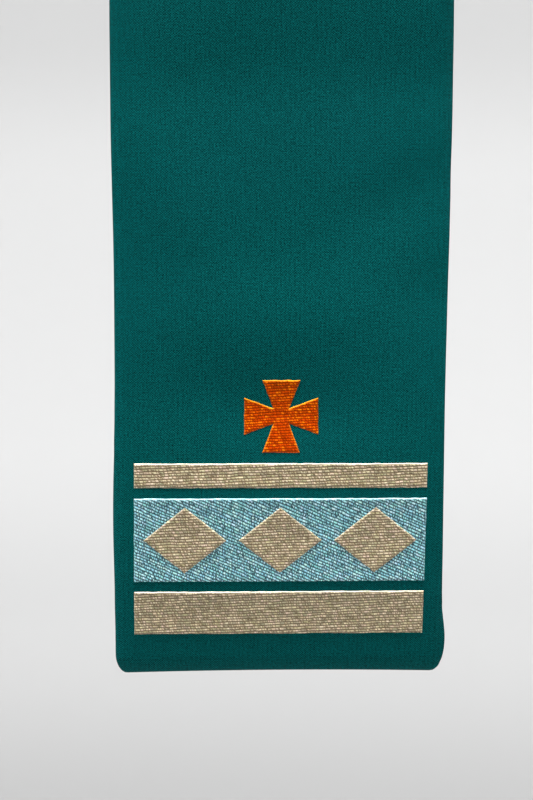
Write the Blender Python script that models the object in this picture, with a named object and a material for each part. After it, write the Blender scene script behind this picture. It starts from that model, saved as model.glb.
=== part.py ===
"""A clerical stole as it hangs on a wearer.

Two long lined halves meet in a seam at the middle of the back, pass over the shoulders beside the neck
and hang straight down in front. Each end carries raised embroidery: three straight bands, three lozenges
and a small cross.

Metres, +Z up. The front faces -Y and the wearer's left is +X. The origin lies midway between the two places
where the stole rests on the shoulders, on the axis of the neck.
"""

from collections import namedtuple

import bmesh
import bpy
import numpy as np

# The cloth
END_WIDTH = 0.130
CLOTH_THICKNESS = 0.0025
EDGE_ROLL = 0.0013
SEAM_GAP = 0.0003
HEM_CURL = 0.0025
HEM_CURL_REACH = 0.008
# How far the middle of the hem lies above its corners, and how far up the cloth that is felt
HEM_BOW = 0.0008
HEM_BOW_REACH = 0.016

# The embroidery
THREAD_THICKNESS = 0.0006
LAYER_GAP = 0.0003
BAND_WIDTH = 0.115

# How closely the solids follow the cloth
ROW_STEP_ON_BODY = 0.0125
ROW_STEP_HANGING = 0.030
ROW_STEP_AT_END = 0.0115
BODY_STRETCH = 0.340
END_STRETCH = 0.150
COLUMNS_ACROSS = 8
HEM_ROWS = (0.0100, 0.0065, 0.0040, 0.0020, 0.0008, 0.0)
CENTRELINE_SAMPLES = 1500

Section = namedtuple("Section", "place x y z turn droop width crown")
# Each section is a straight line across the cloth. x, y and z are its edge beside the neck. turn is how far
# the line points backwards and droop how far it points down, in degrees. crown is how far its middle bulges.
SECTIONS = (
    Section("centre back", 0.000, 0.085, -0.010, 90.0, 66.0, 0.098, 0.002),
    Section("side back", 0.040, 0.077, 0.001, 67.0, 61.0, 0.100, 0.003),
    Section("back of shoulder", 0.067, 0.047, 0.015, 45.0, 46.0, 0.104, 0.005),
    Section("top of shoulder", 0.075, 0.006, 0.018, 25.0, 32.0, 0.108, 0.006),
    Section("collarbone", 0.073, -0.040, 0.000, 15.0, 24.0, 0.113, 0.005),
    Section("upper chest", 0.067, -0.082, -0.049, 13.0, 14.0, 0.118, 0.004),
    Section("chest", 0.061, -0.109, -0.122, 12.0, 7.0, 0.123, 0.003),
    Section("below chest", 0.057, -0.122, -0.215, 11.0, 2.0, 0.126, 0.002),
    Section("waist", 0.054, -0.128, -0.340, 9.0, 0.0, 0.128, 0.002),
    Section("hip", 0.052, -0.130, -0.520, 6.0, 0.0, 0.129, 0.001),
    Section("thigh", 0.051, -0.130, -0.700, 3.5, 0.0, END_WIDTH, 0.001),
    Section("above the knee", 0.050, -0.128, -0.850, 2.0, 0.0, END_WIDTH, 0.001),
    Section("knee", 0.050, -0.121, -0.985, 1.5, 0.0, END_WIDTH, 0.001),
    Section("hem", 0.049, -0.118, -1.105, 1.5, 0.0, END_WIDTH, 0.001),
)

Corner = namedtuple("Corner", "across up fullness")
# How far the turned corners at the hem are rounded, across the cloth and up it. fullness is 2 for a quarter of an
# ellipse and more for a squarer corner.
INNER_CORNER = Corner(0.0049, 0.0085, 2.0)
OUTER_CORNER = Corner(0.0055, 0.0095, 2.6)

Sway = namedtuple("Sway", "above_hem reach inner outer")
# Where the sewn edges run a little out of true near the hem: how far each one lies out, or in where negative.
SWAYS = (
    Sway(0.013, 0.012, -0.0001, 0.0020),
    Sway(0.068, 0.032, 0.0009, -0.0004),
    Sway(0.115, 0.045, -0.0003, -0.0010),
    Sway(0.170, 0.030, -0.0003, -0.0001),
    Sway(0.235, 0.045, 0.0002, 0.0008),
)

Fold = namedtuple("Fold", "above_hem across along_reach cross_reach height slant")
# Soft ridges, and troughs where height is negative. across is measured from the middle of the cloth towards
# its outer edge. slant turns a fold from lying straight across, towards the outer edge going up, in degrees.
FOLDS = {
    "left": (
        Fold(-0.035, 0.004, 0.180, 0.068, -0.0165, 1.0),
        Fold(0.143, 0.002, 0.050, 0.018, 0.0017, 3.0),
        Fold(0.108, 0.006, 0.045, 0.013, -0.0011, -4.0),
        Fold(0.198, -0.048, 0.048, 0.016, 0.0013, 117.0),
        Fold(0.153, 0.058, 0.020, 0.012, -0.0007, 12.0),
        Fold(0.192, 0.050, 0.028, 0.013, -0.0010, 28.0),
        Fold(0.236, 0.000, 0.075, 0.018, -0.0015, 3.0),
        Fold(0.234, 0.056, 0.030, 0.014, -0.0008, 4.0),
        Fold(0.290, 0.012, 0.090, 0.040, 0.0020, 2.0),
        Fold(0.285, 0.052, 0.040, 0.036, 0.0020, 0.0),
        Fold(0.102, 0.044, 0.028, 0.030, 0.0011, 6.0),
        Fold(0.330, -0.010, 0.110, 0.026, 0.0022, 78.0),
        Fold(0.450, 0.024, 0.130, 0.024, -0.0024, 96.0),
        Fold(0.600, -0.022, 0.140, 0.026, 0.0026, 84.0),
        Fold(0.760, 0.020, 0.120, 0.028, 0.0026, 100.0),
        Fold(0.900, -0.018, 0.100, 0.026, -0.0026, 80.0),
        Fold(1.020, 0.030, 0.060, 0.022, 0.0022, 60.0),
        Fold(1.105, -0.022, 0.050, 0.018, -0.0022, 28.0),
        Fold(1.170, 0.012, 0.046, 0.018, 0.0020, 14.0),
        Fold(1.262, -0.018, 0.034, 0.016, 0.0016, -16.0),
    ),
    "right": (
        Fold(-0.035, -0.006, 0.180, 0.068, -0.0145, -2.0),
        Fold(0.150, -0.006, 0.050, 0.020, 0.0015, -5.0),
        Fold(0.118, 0.002, 0.044, 0.013, -0.0012, 4.0),
        Fold(0.225, 0.028, 0.056, 0.018, 0.0013, 66.0),
        Fold(0.250, -0.004, 0.075, 0.019, -0.0014, -4.0),
        Fold(0.200, -0.046, 0.032, 0.015, -0.0010, 22.0),
        Fold(0.300, -0.010, 0.090, 0.042, 0.0018, -3.0),
        Fold(0.345, 0.014, 0.120, 0.024, 0.0024, 98.0),
        Fold(0.490, -0.020, 0.130, 0.026, -0.0022, 82.0),
        Fold(0.640, 0.024, 0.140, 0.026, 0.0024, 95.0),
        Fold(0.790, -0.024, 0.110, 0.026, 0.0026, 80.0),
        Fold(0.930, 0.016, 0.090, 0.024, -0.0024, 100.0),
        Fold(1.030, -0.028, 0.060, 0.022, 0.0020, 120.0),
        Fold(1.092, 0.020, 0.044, 0.018, -0.0020, -24.0),
        Fold(1.180, -0.014, 0.048, 0.018, 0.0022, -10.0),
        Fold(1.250, 0.010, 0.036, 0.016, 0.0015, 18.0),
    ),
}

Band = namedtuple("Band", "name bottom height thread")
BANDS = (
    Band("lower_band", 0.017, 0.018, "beige_thread"),
    Band("wide_band", 0.039, 0.034, "blue_thread"),
    Band("upper_band", 0.077, 0.010, "beige_thread"),
)
LOZENGE_COUNT = 3
LOZENGE_HALF_WIDTH = 0.0165
LOZENGE_HALF_HEIGHT = 0.0135
LOZENGE_PITCH = 0.0375
CROSS_CENTRE = 0.1055
CROSS_REACH = 0.0145
CROSS_TIP_HALF = 0.0075
CROSS_ROOT_HALF = 0.0032

# Colours as linear red, green and blue, with roughness
MATERIALS = {
    "teal_cloth": ((0.003, 0.075, 0.076), 0.85),
    "beige_thread": ((0.330, 0.262, 0.170), 0.45),
    "blue_thread": ((0.190, 0.380, 0.410), 0.45),
    "orange_thread": ((0.640, 0.085, 0.004), 0.45),
}


def clear_scene():
    for obj in list(bpy.data.objects):
        bpy.data.objects.remove(obj, do_unlink=True)


def make_material(name):
    colour, roughness = MATERIALS[name]
    material = bpy.data.materials.new(name)
    material.use_nodes = True
    shader = material.node_tree.nodes["Principled BSDF"]
    shader.inputs["Base Color"].default_value = (*colour, 1.0)
    shader.inputs["Roughness"].default_value = roughness
    shader.inputs["Metallic"].default_value = 0.0
    return material


def natural_spline(knots, values):
    """A smooth curve through values, one row for each knot, with no bend at either end."""
    count = len(knots)
    gaps = np.diff(knots)
    rise = np.diff(values, axis=0) / gaps[:, None]
    system = np.eye(count)
    bends = np.zeros_like(values)
    for i in range(1, count - 1):
        system[i, i - 1 : i + 2] = gaps[i - 1], 2 * (gaps[i - 1] + gaps[i]), gaps[i]
        bends[i] = 6 * (rise[i] - rise[i - 1])
    bends = np.linalg.solve(system, bends)

    def curve(at):
        i = np.clip(np.searchsorted(knots, at) - 1, 0, count - 2)
        gap = gaps[i][:, None]
        after = (at - knots[i])[:, None]
        before = gap - after
        return (
            (bends[i] * before**3 + bends[i + 1] * after**3) / (6 * gap)
            + (values[i] / gap - bends[i] * gap / 6) * before
            + (values[i + 1] / gap - bends[i + 1] * gap / 6) * after
        )

    return curve


def across_direction(section):
    turn, droop = np.radians((section.turn, section.droop))
    return np.array((np.cos(droop) * np.cos(turn), np.cos(droop) * np.sin(turn), -np.sin(droop)))


class ClothHalf:
    """The middle surface of one half. along runs from the seam at the back to the hem, across from the middle
    of the cloth to its outer edge. The half is worked out on the wearer's left, and side mirrors it."""

    def __init__(self, side):
        self.folds = FOLDS[side]
        self.mirrored = side == "right"
        self.mirror = np.array((-1.0 if self.mirrored else 1.0, 1.0, 1.0))
        directions = np.array([across_direction(s) for s in SECTIONS])
        widths = np.array([s.width for s in SECTIONS])
        edges = np.array([(s.x, s.y, s.z) for s in SECTIONS])
        centres = edges + directions * widths[:, None] / 2
        knots = np.concatenate(([0.0], np.cumsum(np.linalg.norm(np.diff(centres, axis=0), axis=1))))
        crowns = [s.crown for s in SECTIONS]
        self.curve = natural_spline(knots, np.column_stack((centres, directions, widths, crowns)))
        self.samples = np.linspace(0.0, knots[-1], CENTRELINE_SAMPLES)
        steps = np.linalg.norm(np.diff(self.curve(self.samples)[:, :3], axis=0), axis=1)
        self.lengths = np.concatenate(([0.0], np.cumsum(steps)))
        self.length = self.lengths[-1]

    def frame_at(self, along):
        row = self.curve(np.interp(along, self.lengths, self.samples))
        direction = row[:, 3:6] / np.linalg.norm(row[:, 3:6], axis=1)[:, None]
        return row[:, :3], direction, row[:, 6], row[:, 7]

    def edges(self, along):
        """Where the inner and outer edges lie across the cloth, with their sways and the hem's rounded corners."""
        half_width = self.frame_at(along)[2] / 2
        above = self.length - along
        shares = [np.exp(-(((above - sway.above_hem) / sway.reach) ** 2)) for sway in SWAYS]
        inner_sway = sum(sway.inner * share for sway, share in zip(SWAYS, shares))
        outer_sway = sum(sway.outer * share for sway, share in zip(SWAYS, shares))

        def cut(corner):
            level = 1 - np.clip(above / corner.up, 0.0, 1.0)
            return corner.across * (1 - (1 - level**corner.fullness) ** (1 / corner.fullness))

        return cut(INNER_CORNER) - half_width - inner_sway, half_width + outer_sway - cut(OUTER_CORNER)

    def bowed(self, along, across):
        """along, moved up the cloth near the hem, whose middle lies a little above its corners."""
        share = np.clip(1 - (self.length - along) / HEM_BOW_REACH, 0.0, 1.0) ** 2
        return along - HEM_BOW * share * (1 - (2 * across / END_WIDTH) ** 2)

    def fold_height(self, along, across):
        above = self.length - along
        height = np.zeros_like(along)
        for fold in self.folds:
            slant = np.radians(fold.slant)
            up, out = above - fold.above_hem, across - fold.across
            on_fold = out * np.cos(slant) + up * np.sin(slant)
            off_fold = up * np.cos(slant) - out * np.sin(slant)
            reach = (on_fold / fold.along_reach) ** 2 + (off_fold / fold.cross_reach) ** 2
            height += fold.height * np.exp(-reach)
        return height

    def ruled_points(self, along, across):
        centre, direction, _, _ = self.frame_at(along)
        return centre + direction * across[:, None]

    def unfolded_normals(self, along, across):
        step = 1e-4
        ahead = self.ruled_points(np.minimum(along + step, self.length), across)
        behind = self.ruled_points(np.maximum(along - step, 0.0), across)
        _, direction, _, _ = self.frame_at(along)
        normal = np.cross(ahead - behind, direction)
        return normal / np.linalg.norm(normal, axis=1)[:, None]

    def middle_points(self, along, across):
        _, _, width, crown = self.frame_at(along)
        bulge = crown * (1 - (2 * across / width) ** 2) + self.fold_height(along, across)
        bulge -= HEM_CURL * np.clip(1 - (self.length - along) / HEM_CURL_REACH, 0.0, 1.0) ** 2
        return self.ruled_points(along, across) + self.unfolded_normals(along, across) * bulge[:, None]

    def points(self, along, across, outward):
        """Points that lie outward of the middle surface, on its outer side where outward is positive."""
        along, across = np.broadcast_arrays(np.asarray(along, float), np.asarray(across, float))
        along = self.bowed(along, across)
        outward = np.broadcast_to(outward, along.shape)
        step = 2e-4
        downwards = self.middle_points(np.minimum(along + step, self.length), across) - self.middle_points(
            np.maximum(along - step, 0.0), across
        )
        sideways = self.middle_points(along, across + step) - self.middle_points(along, across - step)
        normal = np.cross(downwards, sideways)
        normal /= np.linalg.norm(normal, axis=1)[:, None]
        return (self.middle_points(along, across) + normal * outward[:, None]) * self.mirror


def even_steps(start, stop, step):
    """Values from start up to but not including stop, about step apart."""
    count = max(1, round((stop - start) / step))
    return start + (stop - start) * np.arange(count) / count


def row_places(length):
    """How far each row of the solid lies from the seam at the back."""
    hanging_from, end_from = BODY_STRETCH, length - END_STRETCH
    return np.concatenate(
        (
            even_steps(0.0, hanging_from, ROW_STEP_ON_BODY),
            even_steps(hanging_from, end_from, ROW_STEP_HANGING),
            even_steps(end_from, length - HEM_ROWS[0], ROW_STEP_AT_END),
            length - np.array(HEM_ROWS),
        )
    )


def column_places(inner_edge, outer_edge):
    """Places across the cloth, with a column just inside each rolled edge."""
    between = np.linspace(inner_edge + EDGE_ROLL, outer_edge - EDGE_ROLL, COLUMNS_ACROSS + 1)
    return np.concatenate(([inner_edge], between, [outer_edge]))


def link_object(name, mesh, material):
    obj = bpy.data.objects.new(name, mesh)
    obj.data.materials.append(material)
    bpy.context.scene.collection.objects.link(obj)
    return obj


def finish_mesh(name, bm, mirrored, smooth):
    """The mesh of a body whose faces point out on the wearer's left, and are turned round where it is mirrored."""
    if mirrored:
        bmesh.ops.reverse_faces(bm, faces=bm.faces)
    mesh = bpy.data.meshes.new(name)
    bm.to_mesh(mesh)
    bm.free()
    if smooth:
        mesh.shade_smooth()
        mesh.set_sharp_from_angle(angle=np.radians(50))
    return mesh


def make_cloth_solid(half, name, material):
    """The wall of one half. Its outer and inner faces run together at the edges and the hem, and the end at
    the seam is cut square."""
    rows = row_places(half.length)
    across = np.array([column_places(inner, outer) for inner, outer in zip(*half.edges(rows))])
    along = np.repeat(rows[:, None], across.shape[1], axis=1)
    rolled = np.zeros_like(along)
    rolled[:-1, 1:-1] = CLOTH_THICKNESS / 2

    def layer(outward):
        points = half.points(along.ravel(), across.ravel(), outward.ravel()).reshape(*along.shape, 3)
        points[0, :, 0] = half.mirror[0] * SEAM_GAP / 2
        return points

    outer, inner = layer(rolled), layer(-rolled)
    bm = bmesh.new()
    last_row, last_column = along.shape[0] - 1, along.shape[1] - 1
    outer_verts, inner_verts = {}, {}
    for i in range(last_row + 1):
        for j in range(last_column + 1):
            outer_verts[i, j] = bm.verts.new(outer[i, j])
            on_rim = i == last_row or j in (0, last_column)
            inner_verts[i, j] = outer_verts[i, j] if on_rim else bm.verts.new(inner[i, j])

    def face(*corners):
        kept = list(dict.fromkeys(corners))
        if len(kept) > 2:
            bm.faces.new(kept)

    for i in range(last_row):
        for j in range(last_column):
            corners = (i, j), (i, j + 1), (i + 1, j + 1), (i + 1, j)
            face(*(inner_verts[c] for c in corners))
            face(*(outer_verts[c] for c in reversed(corners)))
    for j in range(last_column):
        face(outer_verts[0, j], outer_verts[0, j + 1], inner_verts[0, j + 1], inner_verts[0, j])
    return link_object(name, finish_mesh(name, bm, half.mirrored, smooth=True), material)


def rectangle(bottom, height, width):
    return [(-width / 2, bottom), (width / 2, bottom), (width / 2, bottom + height), (-width / 2, bottom + height)]


def lozenge(middle_across, middle_above):
    return [
        (middle_across - LOZENGE_HALF_WIDTH, middle_above),
        (middle_across, middle_above - LOZENGE_HALF_HEIGHT),
        (middle_across + LOZENGE_HALF_WIDTH, middle_above),
        (middle_across, middle_above + LOZENGE_HALF_HEIGHT),
    ]


def flared_cross(middle_above):
    """A cross with four equal arms that widen to their ends."""
    arm = [
        (CROSS_ROOT_HALF, -CROSS_ROOT_HALF),
        (CROSS_REACH, -CROSS_TIP_HALF),
        (CROSS_REACH, CROSS_TIP_HALF),
    ]
    outline = []
    for quarter in range(4):
        turn = np.radians(90 * quarter)
        for x, y in arm:
            outline.append((x * np.cos(turn) - y * np.sin(turn), x * np.sin(turn) + y * np.cos(turn) + middle_above))
    return outline


def make_embroidery(half, name, outline, outward, material):
    """A raised piece of embroidery with this outline, given as places across the cloth and above its hem. It is
    cut along the rows and columns of the cloth beneath, so that its faces lie along the cloth's own."""
    bm = bmesh.new()
    bm.faces.new([bm.verts.new((across, above, 0.0)) for across, above in outline])
    rows = half.length - row_places(half.length)
    columns = column_places(-END_WIDTH / 2, END_WIDTH / 2)
    cuts = [((0.0, row, 0.0), (0.0, 1.0, 0.0)) for row in rows] + [((c, 0.0, 0.0), (1.0, 0.0, 0.0)) for c in columns]
    for place, normal in cuts:
        everything = bm.verts[:] + bm.edges[:] + bm.faces[:]
        bmesh.ops.bisect_plane(bm, geom=everything, dist=1e-5, plane_co=place, plane_no=normal)
    flat = bm.verts[:]
    bottom = CLOTH_THICKNESS / 2 + outward
    raised = bmesh.ops.extrude_face_region(bm, geom=bm.faces[:])["geom"]
    raised = [v for v in raised if isinstance(v, bmesh.types.BMVert)]
    for verts, level in ((flat, bottom), (raised, bottom + THREAD_THICKNESS)):
        across = np.array([v.co.x for v in verts])
        above = np.array([v.co.y for v in verts])
        for vert, point in zip(verts, half.points(half.length - above, across, level)):
            vert.co = point
    return link_object(name, finish_mesh(name, bm, half.mirrored, smooth=False), material)


def make_end_embroidery(half, side, materials):
    on_cloth, on_band = LAYER_GAP, 2 * LAYER_GAP + THREAD_THICKNESS
    for band in BANDS:
        outline = rectangle(band.bottom, band.height, BAND_WIDTH)
        make_embroidery(half, f"{side}_{band.name}", outline, on_cloth, materials[band.thread])
    wide = BANDS[1]
    for number in range(LOZENGE_COUNT):
        across = (number - (LOZENGE_COUNT - 1) / 2) * LOZENGE_PITCH
        outline = lozenge(across, wide.bottom + wide.height / 2)
        name = f"{side}_lozenge_{number + 1}"
        make_embroidery(half, name, outline, on_band, materials["beige_thread"])
    make_embroidery(half, f"{side}_cross", flared_cross(CROSS_CENTRE), on_cloth, materials["orange_thread"])


def main():
    clear_scene()
    materials = {name: make_material(name) for name in MATERIALS}
    for side in ("left", "right"):
        half = ClothHalf(side)
        make_cloth_solid(half, f"{side}_half", materials["teal_cloth"])
        make_end_embroidery(half, side, materials)
        print(f"{side} half: {half.length:.4f} m long")


main()
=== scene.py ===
"""The looks of the clerical stole: its cloth, its embroidery, a pale stage, soft light and a camera at the
end of the wearer's left half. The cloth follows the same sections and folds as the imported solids."""

from collections import namedtuple

import bpy
import numpy as np
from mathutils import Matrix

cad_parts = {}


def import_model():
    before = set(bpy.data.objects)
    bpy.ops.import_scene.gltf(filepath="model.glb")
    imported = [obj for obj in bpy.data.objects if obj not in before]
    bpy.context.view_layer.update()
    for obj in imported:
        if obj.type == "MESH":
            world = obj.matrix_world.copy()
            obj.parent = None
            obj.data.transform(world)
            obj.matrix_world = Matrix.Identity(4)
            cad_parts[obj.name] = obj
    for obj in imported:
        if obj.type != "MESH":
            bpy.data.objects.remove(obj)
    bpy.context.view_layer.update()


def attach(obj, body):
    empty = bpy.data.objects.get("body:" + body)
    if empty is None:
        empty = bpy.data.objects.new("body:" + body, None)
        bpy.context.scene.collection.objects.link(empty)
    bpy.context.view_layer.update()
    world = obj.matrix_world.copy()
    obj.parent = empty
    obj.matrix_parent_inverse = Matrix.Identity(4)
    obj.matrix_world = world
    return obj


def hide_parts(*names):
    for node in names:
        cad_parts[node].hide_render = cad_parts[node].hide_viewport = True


MM_PER_M = 1000.0

# The cloth, as in the solids
END_WIDTH = 0.130
CLOTH_THICKNESS = 0.0025
HEM_CURL = 0.0025
HEM_CURL_REACH = 0.008
# How far the middle of the hem lies above its corners, and how far up the cloth that is felt
HEM_BOW = 0.0008
HEM_BOW_REACH = 0.016
BAND_WIDTH = 0.115

Section = namedtuple("Section", "place x y z turn droop width crown")
# Each section is a straight line across the cloth. x, y and z are its edge beside the neck. turn is how far
# the line points backwards and droop how far it points down, in degrees. crown is how far its middle bulges.
SECTIONS = (
    Section("centre back", 0.000, 0.085, -0.010, 90.0, 66.0, 0.098, 0.002),
    Section("side back", 0.040, 0.077, 0.001, 67.0, 61.0, 0.100, 0.003),
    Section("back of shoulder", 0.067, 0.047, 0.015, 45.0, 46.0, 0.104, 0.005),
    Section("top of shoulder", 0.075, 0.006, 0.018, 25.0, 32.0, 0.108, 0.006),
    Section("collarbone", 0.073, -0.040, 0.000, 15.0, 24.0, 0.113, 0.005),
    Section("upper chest", 0.067, -0.082, -0.049, 13.0, 14.0, 0.118, 0.004),
    Section("chest", 0.061, -0.109, -0.122, 12.0, 7.0, 0.123, 0.003),
    Section("below chest", 0.057, -0.122, -0.215, 11.0, 2.0, 0.126, 0.002),
    Section("waist", 0.054, -0.128, -0.340, 9.0, 0.0, 0.128, 0.002),
    Section("hip", 0.052, -0.130, -0.520, 6.0, 0.0, 0.129, 0.001),
    Section("thigh", 0.051, -0.130, -0.700, 3.5, 0.0, END_WIDTH, 0.001),
    Section("above the knee", 0.050, -0.128, -0.850, 2.0, 0.0, END_WIDTH, 0.001),
    Section("knee", 0.050, -0.121, -0.985, 1.5, 0.0, END_WIDTH, 0.001),
    Section("hem", 0.049, -0.118, -1.105, 1.5, 0.0, END_WIDTH, 0.001),
)

Corner = namedtuple("Corner", "across up fullness")
# How far the turned corners at the hem are rounded, across the cloth and up it. fullness is 2 for a quarter
# of an ellipse and more for a squarer corner.
INNER_CORNER = Corner(0.0049, 0.0085, 2.0)
OUTER_CORNER = Corner(0.0055, 0.0095, 2.6)

Sway = namedtuple("Sway", "above_hem reach inner outer")
# Where the sewn edges run a little out of true near the hem: how far each one lies out, or in where negative.
SWAYS = (
    Sway(0.013, 0.012, -0.0001, 0.0020),
    Sway(0.068, 0.032, 0.0009, -0.0004),
    Sway(0.115, 0.045, -0.0003, -0.0010),
    Sway(0.170, 0.030, -0.0003, -0.0001),
    Sway(0.235, 0.045, 0.0002, 0.0008),
)

Fold = namedtuple("Fold", "above_hem across along_reach cross_reach height slant")
# Soft ridges, and troughs where height is negative. across is measured from the middle of the cloth towards
# its outer edge. slant turns a fold from lying straight across, towards the outer edge going up, in degrees.
FOLDS = {
    "left": (
        Fold(-0.035, 0.004, 0.180, 0.068, -0.0165, 1.0),
        Fold(0.143, 0.002, 0.050, 0.018, 0.0017, 3.0),
        Fold(0.108, 0.006, 0.045, 0.013, -0.0011, -4.0),
        Fold(0.198, -0.048, 0.048, 0.016, 0.0013, 117.0),
        Fold(0.153, 0.058, 0.020, 0.012, -0.0007, 12.0),
        Fold(0.192, 0.050, 0.028, 0.013, -0.0010, 28.0),
        Fold(0.236, 0.000, 0.075, 0.018, -0.0015, 3.0),
        Fold(0.234, 0.056, 0.030, 0.014, -0.0008, 4.0),
        Fold(0.290, 0.012, 0.090, 0.040, 0.0020, 2.0),
        Fold(0.285, 0.052, 0.040, 0.036, 0.0020, 0.0),
        Fold(0.102, 0.044, 0.028, 0.030, 0.0011, 6.0),
        Fold(0.330, -0.010, 0.110, 0.026, 0.0022, 78.0),
        Fold(0.450, 0.024, 0.130, 0.024, -0.0024, 96.0),
        Fold(0.600, -0.022, 0.140, 0.026, 0.0026, 84.0),
        Fold(0.760, 0.020, 0.120, 0.028, 0.0026, 100.0),
        Fold(0.900, -0.018, 0.100, 0.026, -0.0026, 80.0),
        Fold(1.020, 0.030, 0.060, 0.022, 0.0022, 60.0),
        Fold(1.105, -0.022, 0.050, 0.018, -0.0022, 28.0),
        Fold(1.170, 0.012, 0.046, 0.018, 0.0020, 14.0),
        Fold(1.262, -0.018, 0.034, 0.016, 0.0016, -16.0),
    ),
    "right": (
        Fold(-0.035, -0.006, 0.180, 0.068, -0.0145, -2.0),
        Fold(0.150, -0.006, 0.050, 0.020, 0.0015, -5.0),
        Fold(0.118, 0.002, 0.044, 0.013, -0.0012, 4.0),
        Fold(0.225, 0.028, 0.056, 0.018, 0.0013, 66.0),
        Fold(0.250, -0.004, 0.075, 0.019, -0.0014, -4.0),
        Fold(0.200, -0.046, 0.032, 0.015, -0.0010, 22.0),
        Fold(0.300, -0.010, 0.090, 0.042, 0.0018, -3.0),
        Fold(0.345, 0.014, 0.120, 0.024, 0.0024, 98.0),
        Fold(0.490, -0.020, 0.130, 0.026, -0.0022, 82.0),
        Fold(0.640, 0.024, 0.140, 0.026, 0.0024, 95.0),
        Fold(0.790, -0.024, 0.110, 0.026, 0.0026, 80.0),
        Fold(0.930, 0.016, 0.090, 0.024, -0.0024, 100.0),
        Fold(1.030, -0.028, 0.060, 0.022, 0.0020, 120.0),
        Fold(1.092, 0.020, 0.044, 0.018, -0.0020, -24.0),
        Fold(1.180, -0.014, 0.048, 0.018, 0.0022, -10.0),
        Fold(1.250, 0.010, 0.036, 0.016, 0.0015, 18.0),
    ),
}

# Softer creases, which the solids leave out
CREASES = {
    "left": (
        Fold(0.236, 0.022, 0.058, 0.018, 0.0010, 2.0),
        Fold(0.520, -0.034, 0.060, 0.012, 0.0006, 100.0),
        Fold(0.845, 0.036, 0.050, 0.011, -0.0006, 70.0),
    ),
    "right": (
        Fold(0.246, 0.010, 0.070, 0.017, 0.0006, -4.0),
        Fold(0.560, 0.030, 0.060, 0.012, -0.0006, 82.0),
        Fold(0.870, -0.034, 0.050, 0.011, 0.0006, 112.0),
    ),
}

# How closely the cloth's mesh follows it
CENTRELINE_SAMPLES = 1500
ROW_STEP = 0.0032
END_ROW_STEP = 0.0014
END_STRETCH = 0.330
COLUMN_STEP = 0.0022
ROLL_ANGLES = np.radians((0.0, 22.5, 45.0, 67.5, 90.0))
HEM_STRETCH = 0.010
HEM_ROW_STEP = 0.0008

# Small form that only shows from close by
EDGE_TURN = 0.0012
EDGE_TURN_REACH = 0.0038
SEAM_DIP = 0.45
SEAM_DIP_REACH = 0.0016
SEAM_DIP_ROWS = 4

# The embroidery's form
ROW_DEPTH = 0.00011
ROW_ROUNDNESS = 0.6
STITCH_STEP_UP = 0.00023
STITCH_STEP_ACROSS = 0.00045
# How wide the rounding is along an edge, and its power: 0.5 is a quarter circle, and more runs down more
# gently
STITCH_EDGE_ROLL = 0.0008
STITCH_EDGE_POWER = 0.5
LOWER_ROLL = 0.0016
LOWER_ROLL_POWER = 0.9
STITCH_RISE = 0.00048
STITCH_SINK = 0.00015
DISH = 0.0002
DISH_REACH = 0.0045
LAYER_RISE = 0.00024
# The smooth band along each edge, without grooves, and the painted highlight on it: its width, and how strong
# the painted highlight is on cloth, on another piece, and along upright sides as a share of that. The painted
# highlight is full on upper edges and none on lower ones.
SMOOTH_RIM = 0.00064
RIM_HIGHLIGHT_ON_CLOTH = 1.0
RIM_HIGHLIGHT_ON_LAYER = 0.45
SIDE_RIM_HIGHLIGHT_SHARE = 0.3
# How far the painted shade below upper edges, and the painted light above lower ones, reach into the thread
PAINTED_EDGE_SHADE_REACH = 0.0040
# The underside's faces are this many times as long as those on top
BOTTOM_STRIDE = 6
# Places that round to the same whole number of these to a metre are one place
WELDS_PER_M = 1e7
ON_RIM_WITHIN = 1e-6
# The rows wander by ROW_WANDER, over stretches this long along a row and across the rows
ROW_WANDER = 0.00016
ROW_WANDER_STRETCH = (0.006, 0.003)
# The grooves are this share deeper or shallower, over stretches in metres along a row and in rows across
GROOVE_UNEVENNESS = 0.4
GROOVE_STRETCH = (0.004, 1 / 0.7)
SWELL = 0.00006
SWELL_STRETCH = 0.012
EDGE_WOBBLE = 0.00010
EDGE_WOBBLE_STRETCH = 0.0025
# Offsets that give each of these its own part of the same noise
GROOVE_NOISE_OFFSET = 20
SWELL_NOISE_OFFSET = 9

Band = namedtuple("Band", "name bottom height thread")
BANDS = (
    Band("lower_band", 0.017, 0.018, "beige_thread"),
    Band("wide_band", 0.039, 0.034, "blue_thread"),
    Band("upper_band", 0.077, 0.010, "beige_thread"),
)
LOZENGE_COUNT = 3
LOZENGE_HALF_WIDTH = 0.0165
LOZENGE_HALF_HEIGHT = 0.0135
LOZENGE_PITCH = 0.0375
CROSS_CENTRE = 0.1055
CROSS_REACH = 0.0145
CROSS_TIP_HALF = 0.0075
CROSS_ROOT_HALF = 0.0032

Thread = namedtuple("Thread", "colour groove speck rim shine row_pitch row_angle parting edge_shade")
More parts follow.
